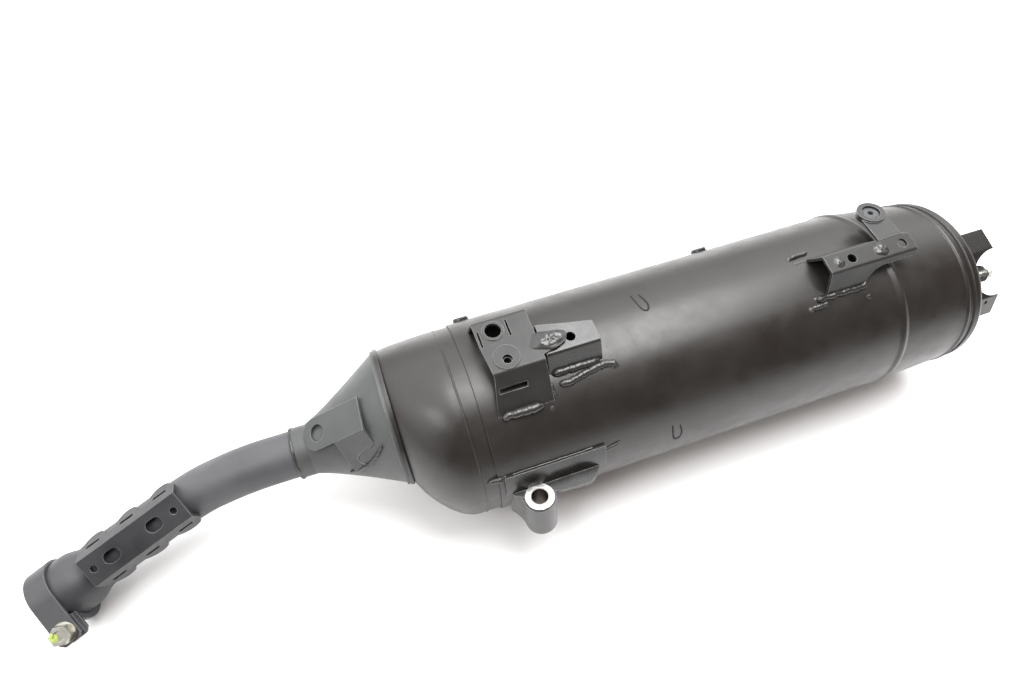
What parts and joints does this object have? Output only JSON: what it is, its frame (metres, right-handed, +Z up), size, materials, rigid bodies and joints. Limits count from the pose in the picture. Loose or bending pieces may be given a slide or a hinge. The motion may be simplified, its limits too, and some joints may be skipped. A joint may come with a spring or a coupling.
{
  "type": "exhaust muffler",
  "caption": "Black scooter exhaust muffler: round can with domed front, inlet cone, bent header pipe with clamp, welded stays, bushed mounting lug and tail stay.",
  "frame": {"origin": "centre of the bounding box's bottom face, where the muffler lies on the table", "axes": "+X along the can from the inlet to the tail, +Z up as it lies on its side, -Y the side with the mounting lug"},
  "size_m": [0.742, 0.1676, 0.1572],
  "materials": {
    "black_paint": "semi-gloss heat-resistant black paint with soft mottling",
    "bracket_paint": "the same paint on stamped sheet, thinner on sheared edges",
    "pipe_paint": "flatter grey-black heat-resistant paint",
    "zinc_plate": "bright zinc-plated steel, turned faces",
    "fastener_zinc": "zinc-plated fasteners, slightly yellowed",
    "graphite_gasket": "pressed graphite and wire ring, stood in for by matte plastic",
    "grey_rubber": "grey heat-resistant rubber",
    "stainless_inner": "stainless inner sheet",
    "catalyst_ceramic": "ceramic honeycomb, stood in for by matte plastic",
    "packing": "basalt and glass wool"
  },
  "bodies": {
    "muffler": {"catalyst_brick": "catalyst_ceramic", "catalyst_can": "stainless_inner", "catalyst_holder": "stainless_inner", "cone_bracket": "bracket_paint", "end_cap": "black_paint", "eyelet_grommet": "grey_rubber", "front_baffle": "stainless_inner", "front_bracket_channel": "bracket_paint", "front_bracket_plate": "bracket_paint", "front_bracket_weld_nut": "bracket_paint", "front_cone": "pipe_paint", "front_dome": "black_paint", "header_guard_bracket": "pipe_paint", "header_pipe": "pipe_paint", "inlet_diffuser": "stainless_inner", "inlet_gasket": "graphite_gasket", "inlet_socket": "pipe_paint", "inner_drum": "stainless_inner", "lower_bracket": "bracket_paint", "lug_bush": "zinc_plate", "main_shell": "black_paint", "middle_baffle": "stainless_inner", "mounting_lug": "bracket_paint", "perforated_core_tube": "stainless_inner", "rear_baffle": "stainless_inner", "rear_bracket": "bracket_paint", "rear_eyelet_arm": "bracket_paint", "return_tube": "stainless_inner", "shield_rivets": "bracket_paint", "sound_packing": "packing", "tail_nut": "zinc_plate", "tail_pipe": "stainless_inner", "tail_stay": "bracket_paint", "tail_stud": "zinc_plate", "transfer_tube": "stainless_inner"},
    "clamp": {"clamp_band": "pipe_paint", "clamp_bolt": "fastener_zinc", "clamp_nut": "bracket_paint"}
  },
  "joints": [
    {"name": "clamp_turn", "type": "hinge", "parent": "muffler", "child": "clamp", "pos_m": [-0.34362, -0.0003, 0.0305], "axis": [-0.9314, -0.3105, -0.1903], "continuous": true}
  ]
}
